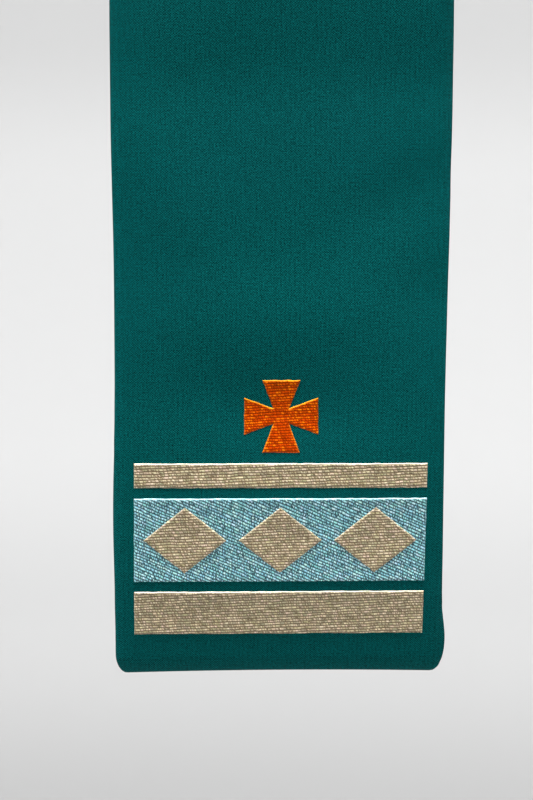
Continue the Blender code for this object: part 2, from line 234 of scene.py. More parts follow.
# Colours as linear red, green and blue: of the thread, of the painted shade in the grooves between its rows,
# of the painted glints on its brightest stitches, of the painted highlight along its upper edges and of its
# shine. row_pitch is in metres. row_angle is how far the rows fall towards the outer edge, in degrees. Then
# how dark the painted shade is in the gaps along a row, and how much painted shade darkens the thread just
# below an upper edge and painted light lightens it just above a lower one.
THREADS = {
    "beige_thread": Thread(
        colour=(0.540, 0.447, 0.274),
        groove=(0.128, 0.083, 0.035),
        speck=(0.880, 0.800, 0.580),
        rim=(0.860, 0.810, 0.660),
        shine=(1.0, 0.96, 0.90),
        row_pitch=0.00110,
        row_angle=-2.4,
        parting=0.90,
        edge_shade=0.10,
    ),
    "blue_thread": Thread(
        colour=(0.345, 0.755, 0.825),
        groove=(0.002, 0.030, 0.042),
        speck=(0.640, 0.980, 1.0),
        rim=(0.560, 0.880, 0.920),
        shine=(0.80, 0.96, 1.0),
        row_pitch=0.00114,
        row_angle=24.0,
        parting=1.0,
        edge_shade=0.25,
    ),
    "orange_thread": Thread(
        colour=(0.655, 0.058, 0.0005),
        groove=(0.215, 0.009, 0.0003),
        speck=(0.960, 0.260, 0.004),
        rim=(1.0, 0.400, 0.012),
        shine=(1.0, 0.38, 0.01),
        row_pitch=0.00105,
        row_angle=-3.0,
        parting=0.90,
        edge_shade=0.22,
    ),
}
# The threads in a row: their spacing in the closest rows, the share of them that the widest rows have, how
# far they lean within the row and how unevenly they lie, both in spacings, and how fast that changes
THREAD_PITCH_MM = 1.00
FEWEST_THREADS_SHARE = 0.62
THREAD_LEAN = 0.45
THREAD_WANDER = 2.4
THREAD_WANDER_PER_MM = 0.9
ROW_NOISE_STEP = 5.3
# How each stitch differs in colour and light from its neighbours, by chance from 0 to 1. Stitches whose
# chance lies above the first value get a painted glint on the crests of their rows, up to the share after it.
PAINTED_GLINT_FROM = 0.45
PAINTED_GLINT_SHARE = 0.75
TINT_SHARE = 0.08
STITCH_LIGHT_UP_TO = 0.50
STITCH_LIGHT = (0.90, 1.22)
# How high a row and a thread stand where they begin to rise out of the painted shade in the grooves and gaps,
# and where they are clear of it
ROW_IN_PAINTED_SHADE = (0.30, 0.95)
THREAD_IN_PAINTED_SHADE = (0.15, 0.95)
CLOUD_PER_MM = 0.22
THREAD_CLOUD_CONTRAST = 0.2
THREAD_ROUGHNESS = 0.38
THREAD_SHINE = 0.7
THREAD_RELIEF_POWER = 0.5
THREAD_RELIEF_STRENGTH = 0.6
STITCH_RELIEF = 0.25

CLOTH_COLOUR = (0.0009, 0.0702, 0.0668)
CLOUD_TINT = (1.6, 0.96, 1.04)
WEAVE_CELL_ACROSS_MM = 0.504
WEAVE_CELL_ALONG_MM = 0.459
WARP_PAIR_MM = 1.9
# How far the weave runs out of true, in radians of its cells, and over what stretches
WEAVE_WANDER = 5.0
WEAVE_WANDER_PER_MM = 0.12
# The yarns' own unevenness: fine across a yarn and long along it
SLUB_FINE_PER_MM = 1.7
SLUB_LONG_PER_MM = 0.12
GRAIN_PER_MM = 1.5
CLOTH_CLOUD_PER_M = 14.0
# How much each of these lightens and darkens the cloth
CELL_CONTRAST = 0.75
WARP_PAIR_CONTRAST = 0.05
GRAIN_CONTRAST = 3.00
SLUB_CONTRAST = 0.60
CLOUD_CONTRAST = 0.24
# The cloth is rougher where its grain is higher
GRAIN_RANGE = (0.3, 0.7)
CLOTH_ROUGHNESS = (0.70, 0.85)
CLOTH_SHINE = 0.15
CLOTH_SHINE_TINT = (0.02, 0.80, 0.80, 1.0)
CLOTH_SHEEN = 0.03
CLOTH_SHEEN_TINT = (0.01, 0.50, 0.50, 1.0)
GRAIN_RELIEF = 0.6
CELL_RELIEF = 0.5
CLOTH_RELIEF_STRENGTH = 0.5

# The depth that both materials' fine relief stands for, in metres
RELIEF_DEPTH = 0.00010
# The mean of a noise and of a chance
NOISE_MEAN = 0.5

# The camera, set by where the cloth's edges lie in the photograph
CAMERA_PLACE = (0.1092, -0.920, -0.9101)
CAMERA_PITCH = 5.93
CAMERA_LENS = 92.90
SENSOR_WIDTH = 36.0

# The stage: a wide round room with a pale floor and wall, open above. The stole hangs in its middle.
FLOOR_HEIGHT = -6.0
WALL_RADIUS = 9.5
COVE_RADIUS = 1.2
WALL_TOP = 4.0
ROOM_SIDES = 96
COVE_STEPS = 12
STAGE_ROUGHNESS = 0.95
STAGE_SHINE = 0.1

Shade = namedtuple("Shade", "height grey")
# How pale the stage is at each height, with painted shade that makes it darker low down and high up
PAINTED_SHADES = (
    Shade(FLOOR_HEIGHT, 0.28),
    Shade(-4.3, 0.46),
    Shade(-3.1, 0.61),
    Shade(-2.2, 0.69),
    Shade(-0.9, 0.68),
    Shade(-0.1, 0.59),
    Shade(WALL_TOP, 0.50),
)

SunLight = namedtuple("SunLight", "name azimuth elevation strength softness")
# azimuth 0 shines from the front and 90 from the wearer's left, in degrees
SUNS = (
    SunLight("key_from_above", -14.0, 73.0, 6.75, 10.0),
    SunLight("fill_from_behind", 160.0, 55.0, 2.8, 14.0),
    SunLight("fill_from_left", 90.0, 30.0, 1.2, 14.0),
    SunLight("fill_from_right", -90.0, 30.0, 1.0, 14.0),
)
SKY_COLOUR = (0.96, 0.98, 0.98, 1.0)
SKY_STRENGTH = 0.35


def natural_spline(knots, values):
    """A smooth curve through values, one row for each knot, with no bend at either end."""
    count = len(knots)
    gaps = np.diff(knots)
    rise = np.diff(values, axis=0) / gaps[:, None]
    system = np.eye(count)
    bends = np.zeros_like(values)
    for i in range(1, count - 1):
        system[i, i - 1 : i + 2] = gaps[i - 1], 2 * (gaps[i - 1] + gaps[i]), gaps[i]
        bends[i] = 6 * (rise[i] - rise[i - 1])
    bends = np.linalg.solve(system, bends)

    def curve(at):
        i = np.clip(np.searchsorted(knots, at) - 1, 0, count - 2)
        gap = gaps[i][:, None]
        after = (at - knots[i])[:, None]
        before = gap - after
        return (
            (bends[i] * before**3 + bends[i + 1] * after**3) / (6 * gap)
            + (values[i] / gap - bends[i] * gap / 6) * before
            + (values[i + 1] / gap - bends[i + 1] * gap / 6) * after
        )

    return curve


def across_direction(section):
    turn, droop = np.radians((section.turn, section.droop))
    return np.array((np.cos(droop) * np.cos(turn), np.cos(droop) * np.sin(turn), -np.sin(droop)))


class SoftNoise:
    """Smooth unevenness from -1 to 1 over a plane, the same on every run."""

    SIZE = 64

    def __init__(self, seed):
        self.values = np.random.default_rng(seed).uniform(-1.0, 1.0, (self.SIZE, self.SIZE))

    def __call__(self, x, y):
        i, j = np.floor(x).astype(int), np.floor(y).astype(int)
        fx, fy = x - i, y - j
        fx, fy = fx * fx * (3 - 2 * fx), fy * fy * (3 - 2 * fy)

        def value(a, b):
            return self.values[a % self.SIZE, b % self.SIZE]

        low = value(i, j) * (1 - fx) + value(i + 1, j) * fx
        high = value(i, j + 1) * (1 - fx) + value(i + 1, j + 1) * fx
        return low * (1 - fy) + high * fy


class ClothHalf:
    """The middle surface of one half. along runs from the seam at the back to the hem, across from the middle
    of the cloth to its outer edge. The half is worked out on the wearer's left, and side mirrors it."""

    def __init__(self, side):
        self.folds = FOLDS[side] + CREASES[side]
        self.mirrored = side == "right"
        self.mirror = np.array((-1.0 if self.mirrored else 1.0, 1.0, 1.0))
        directions = np.array([across_direction(s) for s in SECTIONS])
        widths = np.array([s.width for s in SECTIONS])
        edges = np.array([(s.x, s.y, s.z) for s in SECTIONS])
        centres = edges + directions * widths[:, None] / 2
        knots = np.concatenate(([0.0], np.cumsum(np.linalg.norm(np.diff(centres, axis=0), axis=1))))
        crowns = [s.crown for s in SECTIONS]
        self.curve = natural_spline(knots, np.column_stack((centres, directions, widths, crowns)))
        self.samples = np.linspace(0.0, knots[-1], CENTRELINE_SAMPLES)
        steps = np.linalg.norm(np.diff(self.curve(self.samples)[:, :3], axis=0), axis=1)
        self.lengths = np.concatenate(([0.0], np.cumsum(steps)))
        self.length = self.lengths[-1]

    def frame_at(self, along):
        row = self.curve(np.interp(along, self.lengths, self.samples))
        direction = row[:, 3:6] / np.linalg.norm(row[:, 3:6], axis=1)[:, None]
        return row[:, :3], direction, row[:, 6], row[:, 7]

    def edges(self, along):
        """Where the inner and outer edges lie across the cloth, with their sways and the hem's rounded
        corners."""
        half_width = self.frame_at(along)[2] / 2
        above = self.length - along
        shares = [np.exp(-(((above - sway.above_hem) / sway.reach) ** 2)) for sway in SWAYS]
        inner_sway = sum(sway.inner * share for sway, share in zip(SWAYS, shares))
        outer_sway = sum(sway.outer * share for sway, share in zip(SWAYS, shares))

        def cut(corner):
            level = 1 - np.clip(above / corner.up, 0.0, 1.0)
            return corner.across * (1 - (1 - level**corner.fullness) ** (1 / corner.fullness))

        return cut(INNER_CORNER) - half_width - inner_sway, half_width + outer_sway - cut(OUTER_CORNER)

    def bowed(self, along, across):
        """along, moved up the cloth near the hem, whose middle lies a little above its corners."""
        share = np.clip(1 - (self.length - along) / HEM_BOW_REACH, 0.0, 1.0) ** 2
        return along - HEM_BOW * share * (1 - (2 * across / END_WIDTH) ** 2)

    def fold_height(self, along, across):
        above = self.length - along
        height = np.zeros_like(along)
        for fold in self.folds:
            slant = np.radians(fold.slant)
            up, out = above - fold.above_hem, across - fold.across
            on_fold = out * np.cos(slant) + up * np.sin(slant)
            off_fold = up * np.cos(slant) - out * np.sin(slant)
            reach = (on_fold / fold.along_reach) ** 2 + (off_fold / fold.cross_reach) ** 2
            height += fold.height * np.exp(-reach)
        return height

    def ruled_points(self, along, across):
        centre, direction, _, _ = self.frame_at(along)
        return centre + direction * across[:, None]

    def unfolded_normals(self, along, across):
        step = 1e-4
        ahead = self.ruled_points(np.minimum(along + step, self.length), across)
        behind = self.ruled_points(np.maximum(along - step, 0.0), across)
        _, direction, _, _ = self.frame_at(along)
        normal = np.cross(ahead - behind, direction)
        return normal / np.linalg.norm(normal, axis=1)[:, None]

    def middle_points(self, along, across):
        _, _, width, crown = self.frame_at(along)
        bulge = crown * (1 - (2 * across / width) ** 2) + self.fold_height(along, across)
        bulge -= HEM_CURL * np.clip(1 - (self.length - along) / HEM_CURL_REACH, 0.0, 1.0) ** 2
        from_edge = width / 2 - np.abs(across)
        bulge -= EDGE_TURN * np.clip(1 - from_edge / EDGE_TURN_REACH, 0.0, 1.0) ** 2
        return self.ruled_points(along, across) + self.unfolded_normals(along, across) * bulge[:, None]

    def points(self, along, across, outward):
        """Points that lie outward of the middle surface, on its outer side where outward is positive."""
        along, across = np.broadcast_arrays(np.asarray(along, float), np.asarray(across, float))
        along = self.bowed(along, across)
        outward = np.broadcast_to(outward, along.shape)
        step = 2e-4
        downwards = self.middle_points(np.minimum(along + step, self.length), across) - self.middle_points(
            np.maximum(along - step, 0.0), across
        )
        sideways = self.middle_points(along, across + step) - self.middle_points(along, across - step)
        normal = np.cross(downwards, sideways)
        normal /= np.linalg.norm(normal, axis=1)[:, None]
        return (self.middle_points(along, across) + normal * outward[:, None]) * self.mirror


def even_steps(start, stop, step):
    """Values from start up to but not including stop, about step apart."""
    count = max(1, round((stop - start) / step))
    return start + (stop - start) * np.arange(count) / count


def make_object(name, points, faces, mirrored, layers, material):
    """A smooth object from points and faces. layers holds the values that its material reads, one pair for
    each point under the name of the UV map that they go into."""
    if mirrored:
        faces = [tuple(reversed(face)) for face in faces]
    mesh = bpy.data.meshes.new(name)
    mesh.from_pydata(points.tolist(), [], faces)
    corners = np.empty(len(mesh.loops), int)
    mesh.loops.foreach_get("vertex_index", corners)
    for layer_name, places in layers.items():
        layer = mesh.uv_layers.new(name=layer_name)
        layer.data.foreach_set("uv", places[corners].astype(np.float32).ravel())
    mesh.materials.append(material)
    mesh.shade_smooth()
    mesh.update()
    obj = bpy.data.objects.new(name, mesh)
    bpy.context.scene.collection.objects.link(obj)
    return obj


def grid_faces(numbers):
    """The faces of a grid of point numbers, with a side left out where two corners are the same point."""
    corners = np.stack((numbers[:-1, :-1], numbers[:-1, 1:], numbers[1:, 1:], numbers[1:, :-1]), axis=-1)
    faces = (tuple(dict.fromkeys(face)) for face in corners.reshape(-1, 4).tolist())
    return [face for face in faces if len(face) > 2]


def cloth_columns(inner, outer):
    """Places across each row of the cloth, close together round each rolled edge, and the roll of each one,
    from 0 at the edge to 1 on the flat."""
    roll = CLOTH_THICKNESS / 2
    close = roll * (1 - np.cos(ROLL_ANGLES[:-1]))
    count = round((END_WIDTH - 2 * roll) / COLUMN_STEP)
    share = np.linspace(0.0, 1.0, count + 1)
    flat = inner[:, None] + roll + share * (outer - inner - 2 * roll)[:, None]
    across = np.hstack((inner[:, None] + close, flat, outer[:, None] - close[::-1]))
    bend = np.sin(ROLL_ANGLES[:-1])
    return across, np.concatenate((bend, np.ones(count + 1), bend[::-1]))


def cloth_rows(length):
    """Places of the rows from the seam to the hem, and the roll of each one."""
    roll = CLOTH_THICKNESS / 2
    close = roll * (1 - np.cos(ROLL_ANGLES))
    near_seam = even_steps(0.0, SEAM_DIP_REACH, SEAM_DIP_REACH / SEAM_DIP_ROWS)
    body = even_steps(SEAM_DIP_REACH, length - END_STRETCH, ROW_STEP)
    end = even_steps(length - END_STRETCH, length - HEM_STRETCH, END_ROW_STEP)
    hem = even_steps(length - HEM_STRETCH, length - roll, HEM_ROW_STEP)
    along = np.concatenate((near_seam, body, end, hem, length - close[::-1]))
    dip = 1 - SEAM_DIP * np.clip(1 - along / SEAM_DIP_REACH, 0.0, 1.0) ** 2
    bend = np.sqrt(1 - np.clip(1 - (length - along) / roll, 0.0, 1.0) ** 2)
    return along, dip * bend


def make_cloth(half, side, material):
    """The wall of one half, rolled over at its edges and its hem. At the seam it meets the other half."""
    along, row_roll = cloth_rows(half.length)
    across, column_roll = cloth_columns(*half.edges(along))
    along = np.repeat(along[:, None], across.shape[1], axis=1)
    level = CLOTH_THICKNESS / 2 * row_roll[:, None] * column_roll[None, :]

    def layer(outward):
        points = half.points(along.ravel(), across.ravel(), outward.ravel()).reshape(*along.shape, 3)
        points[0, :, 0] = 0.0
        return points

    outer, inner = layer(level), layer(-level)
    numbers = np.arange(along.size).reshape(along.shape)
    behind = numbers + along.size
    behind[:, 0], behind[:, -1], behind[-1] = numbers[:, 0], numbers[:, -1], numbers[-1]
    seam = np.stack((behind[0], numbers[0]))
    faces = grid_faces(numbers[::-1]) + grid_faces(behind) + grid_faces(seam[::-1])
    points = np.concatenate((outer.reshape(-1, 3), inner.reshape(-1, 3)))
    places = np.tile(np.column_stack((across.ravel(), along.ravel())), (2, 1))
    points, faces, layers = drop_unused(points, faces, {"cloth": places})
    return make_object(f"{side}_cloth", points, faces, half.mirrored, layers, material)


def drop_unused(points, faces, layers):
    used = np.zeros(len(points), bool)
    used[np.concatenate([list(face) for face in faces])] = True
    renumber = np.cumsum(used) - 1
    faces = [tuple(renumber[list(face)].tolist()) for face in faces]
    return points[used], faces, {name: places[used] for name, places in layers.items()}


def edge_graded(length, step, rolled_start=True):
    """Places from 0 to length, about step apart, and closer together where the edge is rolled: at the end,
    and at the start as well unless rolled_start is False."""
    close = STITCH_EDGE_ROLL * (1 - np.cos(ROLL_ANGLES[:-1]))
    start = STITCH_EDGE_ROLL if rolled_start else 0.0
    stop = length - STITCH_EDGE_ROLL
    count = max(2, round((stop - start) / step))
    before = close if rolled_start else []
    return np.concatenate((before, np.linspace(start, stop, count + 1), length - close[::-1]))


def patch(corners, across_shares, up_shares):
    """A flat grid of places between four corners, each one given across the cloth and above its hem."""
    low_left, low_right, high_right, high_left = (np.array(c, float) for c in corners)
    p, q = np.meshgrid(across_shares, up_shares)
    p, q = p[..., None], q[..., None]
    low = low_left * (1 - p) + low_right * p
    high = high_left * (1 - p) + high_right * p
    return low * (1 - q) + high * q


def rectangle_patches(bottom, height):
    across = edge_graded(BAND_WIDTH, STITCH_STEP_ACROSS) / BAND_WIDTH
    up = edge_graded(height, STITCH_STEP_UP) / height
    half, top = BAND_WIDTH / 2, bottom + height
    corners = [(-half, bottom), (half, bottom), (half, top), (-half, top)]
    return [patch(corners, across, up)], corners


def lozenge_patches(middle_across, middle_above):
    side = np.hypot(LOZENGE_HALF_WIDTH, LOZENGE_HALF_HEIGHT)
    shares = edge_graded(side, STITCH_STEP_UP) / side
    corners = [
        (middle_across, middle_above - LOZENGE_HALF_HEIGHT),
        (middle_across + LOZENGE_HALF_WIDTH, middle_above),
        (middle_across, middle_above + LOZENGE_HALF_HEIGHT),
        (middle_across - LOZENGE_HALF_WIDTH, middle_above),
    ]
    return [patch(corners, shares, shares)], corners


def cross_patches(middle_above):
    """Four arms that widen to their ends, and the square between them."""
    root, tip, reach = CROSS_ROOT_HALF, CROSS_TIP_HALF, CROSS_REACH
    across = edge_graded(2 * tip, STITCH_STEP_UP) / (2 * tip)
    out = edge_graded(reach - root, STITCH_STEP_UP, rolled_start=False) / (reach - root)
    square = [(-root, -root), (root, -root), (root, root), (-root, root)]
    arm = [(root, -root), (reach, -tip), (reach, tip), (root, root)]
    patches, outline = [patch(square, across, across)], []
    for quarter in range(4):
        turn = np.radians(90 * quarter)
        rotate = np.array(((np.cos(turn), np.sin(turn)), (-np.sin(turn), np.cos(turn))))
        patches.append(patch(np.array(arm) @ rotate, out, across))
        outline += [tuple(point) for point in np.array(arm[:3]) @ rotate]
    offset = np.array((0.0, middle_above))
    return [p + offset for p in patches], [tuple(np.array(point) + offset) for point in outline]


def distance_to_outline(places, outline):
    """How far each place lies from the outline, and which way the nearest side faces, from -1, down, to 1,
    up. The third value, which steers the painted shade and painted light near the edges, is 1 just below an
    upper edge, -1 just above a lower one, and fades out away from them."""
    corners = np.array(outline)
    distances, facings = [], []
    for start, stop in zip(corners, np.roll(corners, -1, axis=0)):
        side = stop - start
        share = np.clip((places - start) @ side / (side @ side), 0.0, 1.0)
        distances.append(np.linalg.norm(places - start - share[:, None] * side, axis=1))
        facings.append(-side[0] / np.linalg.norm(side))
    distances, facings = np.array(distances), np.array(facings)
    shade = facings @ np.exp(-distances / PAINTED_EDGE_SHADE_REACH)
    return distances.min(axis=0), facings[distances.argmin(axis=0)], shade


def coarse_cells(numbers, on_rim):
    """Large faces over a grid of point numbers. A cell keeps all the points along the sides that lie on the
    piece's outline, so that the faces meet the finer ones above them."""
    rows, columns = numbers.shape
    row_cuts = sorted({*range(0, rows - 1, BOTTOM_STRIDE), rows - 1})
    column_cuts = sorted({*range(0, columns - 1, BOTTOM_STRIDE), columns - 1})
    faces = []
    for low, high in zip(row_cuts, row_cuts[1:]):
        for left, right in zip(column_cuts, column_cuts[1:]):
            ring = [(low, j) for j in range(left, right)]
            ring += [(i, right) for i in range(low, high)]
            ring += [(high, j) for j in range(right, left, -1)]
            ring += [(i, left) for i in range(high, low, -1)]
            corners = {(low, left), (low, right), (high, right), (high, left)}
            faces.append([numbers[c] for c in ring if c in corners or on_rim[numbers[c]]])
    return faces


def make_stitched(half, name, patches, outline, foot, rim_highlight_strength, thread_name, material):
    """A raised piece of embroidery: a rounded, ribbed top, slightly dished, that runs down gently to its
    lower edges, and a plain underside sunk into what it lies on. foot is how high its edges lie above the
    cloth."""
    rise = foot + STITCH_SINK + STITCH_RISE
    thread = THREADS[thread_name]
    places = np.concatenate([p.reshape(-1, 2) for p in patches])
    keys = np.round(places * WELDS_PER_M).astype(np.int64)
    _, first, welded = np.unique(keys, axis=0, return_index=True, return_inverse=True)
    welded = welded.ravel()
    places = places[first]
    from_edge, facing, edge_shade = distance_to_outline(places, outline)
    faces_up, faces_down = np.clip(facing, 0.0, 1.0), np.clip(-facing, 0.0, 1.0)
    on_rim = from_edge < ON_RIM_WITHIN
    count = len(places)

    uneven = SoftNoise(seed=len(name))
    angle = np.radians(thread.row_angle)
    up = places[:, 1] * np.cos(angle) + places[:, 0] * np.sin(angle)
    out = places[:, 0] * np.cos(angle) - places[:, 1] * np.sin(angle)
    up = up + ROW_WANDER * uneven(out / ROW_WANDER_STRETCH[0], up / ROW_WANDER_STRETCH[1])
    row = up / thread.row_pitch
    groove = 1 - np.abs(np.sin(np.pi * row)) ** ROW_ROUNDNESS
    deeper = uneven(out / GROOVE_STRETCH[0] + GROOVE_NOISE_OFFSET, row / GROOVE_STRETCH[1])
    inside = np.clip(from_edge / SMOOTH_RIM, 0.0, 1.0)
    depth = ROW_DEPTH * (1 + GROOVE_UNEVENNESS * deeper) * inside
    roll = STITCH_EDGE_ROLL + (LOWER_ROLL - STITCH_EDGE_ROLL) * faces_down
    roll_power = STITCH_EDGE_POWER + (LOWER_ROLL_POWER - STITCH_EDGE_POWER) * faces_down
    rounding = (1 - np.clip(1 - from_edge / roll, 0.0, 1.0) ** 2) ** roll_power
    swell = SWELL * uneven(out / SWELL_STRETCH + SWELL_NOISE_OFFSET, up / SWELL_STRETCH)
    swell -= DISH * (1 - np.exp(-((from_edge / DISH_REACH) ** 2)))
    level = foot + (rise - foot) * rounding + swell * rounding - groove * depth

    wobble = EDGE_WOBBLE * uneven(places[:, 0] / EDGE_WOBBLE_STRETCH, places[:, 1] / EDGE_WOBBLE_STRETCH)
    flat = places + wobble[:, None]
    surface = CLOTH_THICKNESS / 2
    top = half.points(half.length - flat[:, 1], flat[:, 0], surface + level)
    bottom = half.points(half.length - flat[:, 1], flat[:, 0], surface + foot - STITCH_SINK)
    faces, start = [], 0
    for grid in patches:
        size = grid.shape[0] * grid.shape[1]
        numbers = welded[start : start + size].reshape(grid.shape[:2])
        start += size
        faces += grid_faces(numbers)
        for face in coarse_cells(numbers, on_rim):
            faces.append(tuple(int(n) if on_rim[n] else int(n) + count for n in reversed(face)))
    stitch = np.column_stack((out * MM_PER_M, row))
    # The second map carries the painted highlight along the edges, full on upper edges, a share on upright
    # sides and none on lower ones, and the painted shade and light near the edges
    rim_highlight_share = rim_highlight_strength * (faces_up + SIDE_RIM_HIGHLIGHT_SHARE * (1 - np.abs(facing)))
    rim = np.column_stack(((1 - inside) * rim_highlight_share, edge_shade))
    layers = {"stitch": np.tile(stitch, (2, 1)), "rim": np.tile(rim, (2, 1))}
    points, faces, layers = drop_unused(np.concatenate((top, bottom)), faces, layers)
    return make_object(name, points, faces, half.mirrored, layers, material)


def make_end_embroidery(half, side, materials):
    """The stitched pieces on one end, each with the solid that it stands for."""
    pieces = []

    def add(name, shape, foot, rim_highlight_strength, thread):
        node = f"{side}_{name}"
        piece = make_stitched(half, f"{node}_stitched", *shape, foot, rim_highlight_strength, thread, materials[thread])
        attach(piece, "root")
        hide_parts(node)
        pieces.append(piece)

    for band in BANDS:
        shape = rectangle_patches(band.bottom, band.height)
        add(band.name, shape, -STITCH_SINK, RIM_HIGHLIGHT_ON_CLOTH, band.thread)
    wide = BANDS[1]
    for number in range(LOZENGE_COUNT):
        across = (number - (LOZENGE_COUNT - 1) / 2) * LOZENGE_PITCH
        shape = lozenge_patches(across, wide.bottom + wide.height / 2)
        add(f"lozenge_{number + 1}", shape, LAYER_RISE - STITCH_SINK, RIM_HIGHLIGHT_ON_LAYER, "beige_thread")
    add("cross", cross_patches(CROSS_CENTRE), -STITCH_SINK, RIM_HIGHLIGHT_ON_CLOTH, "orange_thread")
    return pieces


class Nodes:
    """Short calls for the nodes of one material."""

    def __init__(self, name):
        self.material = bpy.data.materials.new(name)
        self.material.use_nodes = True
        self.tree = self.material.node_tree
        self.shader = self.tree.nodes["Principled BSDF"]

    def put(self, socket, value):
        if isinstance(value, bpy.types.NodeSocket):
            self.tree.links.new(value, socket)
        else:
            socket.default_value = value

    def add(self, kind, inputs=(), output=0, **settings):
        node = self.tree.nodes.new(kind)
        for key, value in settings.items():
            setattr(node, key, value)
        for key, value in dict(inputs).items():
            self.put(node.inputs[key], value)
        return node.outputs[output]

    def math(self, operation, *values):
        return self.add("ShaderNodeMath", dict(enumerate(values)), operation=operation)

    def uv(self, layer):
        """The place in a UV map, and its two values."""
        place = self.add("ShaderNodeUVMap", uv_map=layer)
        node = self.tree.nodes.new("ShaderNodeSeparateXYZ")
        self.put(node.inputs[0], place)
        return place, node.outputs[0], node.outputs[1]

    def vector(self, x, y, z=0.0):
        return self.add("ShaderNodeCombineXYZ", {0: x, 1: y, 2: z})

    def noise(self, place, scale, detail=2.0, roughness=0.5):
        inputs = {"Vector": place, "Scale": scale, "Detail": detail, "Roughness": roughness}
        return self.add("ShaderNodeTexNoise", inputs, noise_dimensions="3D")

    def remap(self, value, low, high, to_low, to_high):
        inputs = {"Value": value, "From Min": low, "From Max": high, "To Min": to_low, "To Max": to_high}
        return self.add("ShaderNodeMapRange", inputs)

    def mix(self, share, first, second):
        node = self.tree.nodes.new("ShaderNodeMix")
        node.data_type = "RGBA"
        self.put(node.inputs["Factor"], share)
        for socket, value in ((node.inputs[6], first), (node.inputs[7], second)):
            self.put(socket, (*value, 1.0) if isinstance(value, tuple) else value)
        return node.outputs[2]

    def multiply(self, first, second):
        return self.add("ShaderNodeVectorMath", {0: first, 1: second}, operation="MULTIPLY")

    def scale_colour(self, colour, factor):
        return self.add("ShaderNodeVectorMath", {0: colour, "Scale": factor}, operation="SCALE")

    def uneven(self, light, texture, contrast):
        """light, made lighter and darker by a texture."""
        return self.math("MULTIPLY_ADD", self.math("SUBTRACT", texture, NOISE_MEAN), contrast, light)

    def finish(self, colour, roughness, relief, relief_strength, **settings):
        bump = {"Height": relief, "Distance": RELIEF_DEPTH, "Strength": relief_strength}
        self.put(self.shader.inputs["Base Color"], colour)
        self.put(self.shader.inputs["Roughness"], roughness)
        self.put(self.shader.inputs["Normal"], self.add("ShaderNodeBump", bump))
        for key, value in settings.items():
            self.put(self.shader.inputs[key.replace("_", " ")], value)
        return self.material


def cloth_material():
    """A close basket weave: little cells where the yarn across or the yarn along lies on top."""
    nodes = Nodes("teal_weave")
    place, across, along = nodes.uv("cloth")
    across_mm = nodes.math("MULTIPLY", across, MM_PER_M)
    along_mm = nodes.math("MULTIPLY", along, MM_PER_M)
    on_cloth = nodes.vector(across_mm, along_mm)
    shift = nodes.math("MULTIPLY", nodes.noise(on_cloth, WEAVE_WANDER_PER_MM), WEAVE_WANDER)
    waves = [
        nodes.math("SINE", nodes.math("MULTIPLY_ADD", place_mm, np.pi / cell_mm, shift))
        for place_mm, cell_mm in ((across_mm, WEAVE_CELL_ACROSS_MM), (along_mm, WEAVE_CELL_ALONG_MM))
    ]
    warp_pairs = nodes.math("SINE", nodes.math("MULTIPLY", across_mm, 2 * np.pi / WARP_PAIR_MM))
    cell = nodes.math("MULTIPLY", *waves)
    grain = nodes.noise(on_cloth, GRAIN_PER_MM, roughness=0.7)
    scales = (SLUB_FINE_PER_MM, SLUB_LONG_PER_MM)
    across_fine, across_long = (nodes.math("MULTIPLY", across_mm, scale) for scale in scales)
    along_fine, along_long = (nodes.math("MULTIPLY", along_mm, scale) for scale in scales)
    slub_along = nodes.noise(nodes.vector(across_fine, along_long), 1.0)
    slub_across = nodes.noise(nodes.vector(across_long, along_fine), 1.0)
    cloud = nodes.noise(place, CLOTH_CLOUD_PER_M, detail=3.0)
    light = nodes.math("MULTIPLY_ADD", cell, CELL_CONTRAST, 1.0)
    light = nodes.math("MULTIPLY_ADD", warp_pairs, WARP_PAIR_CONTRAST, light)
    textures = (
        (grain, GRAIN_CONTRAST),
        (slub_along, SLUB_CONTRAST),
        (slub_across, SLUB_CONTRAST),
        (cloud, CLOUD_CONTRAST),
    )
    for texture, contrast in textures:
        light = nodes.uneven(light, texture, contrast)
    colour = nodes.mix(cloud, CLOTH_COLOUR, tuple(c * f for c, f in zip(CLOTH_COLOUR, CLOUD_TINT)))
    relief = nodes.math("MULTIPLY_ADD", grain, GRAIN_RELIEF, nodes.math("MULTIPLY", cell, CELL_RELIEF))
    return nodes.finish(
        nodes.scale_colour(colour, light),
        nodes.remap(grain, *GRAIN_RANGE, *CLOTH_ROUGHNESS),
        relief,
        CLOTH_RELIEF_STRENGTH,
        Sheen_Weight=CLOTH_SHEEN,
        Sheen_Tint=CLOTH_SHEEN_TINT,
        Specular_Tint=CLOTH_SHINE_TINT,
        Specular_IOR_Level=CLOTH_SHINE,
    )


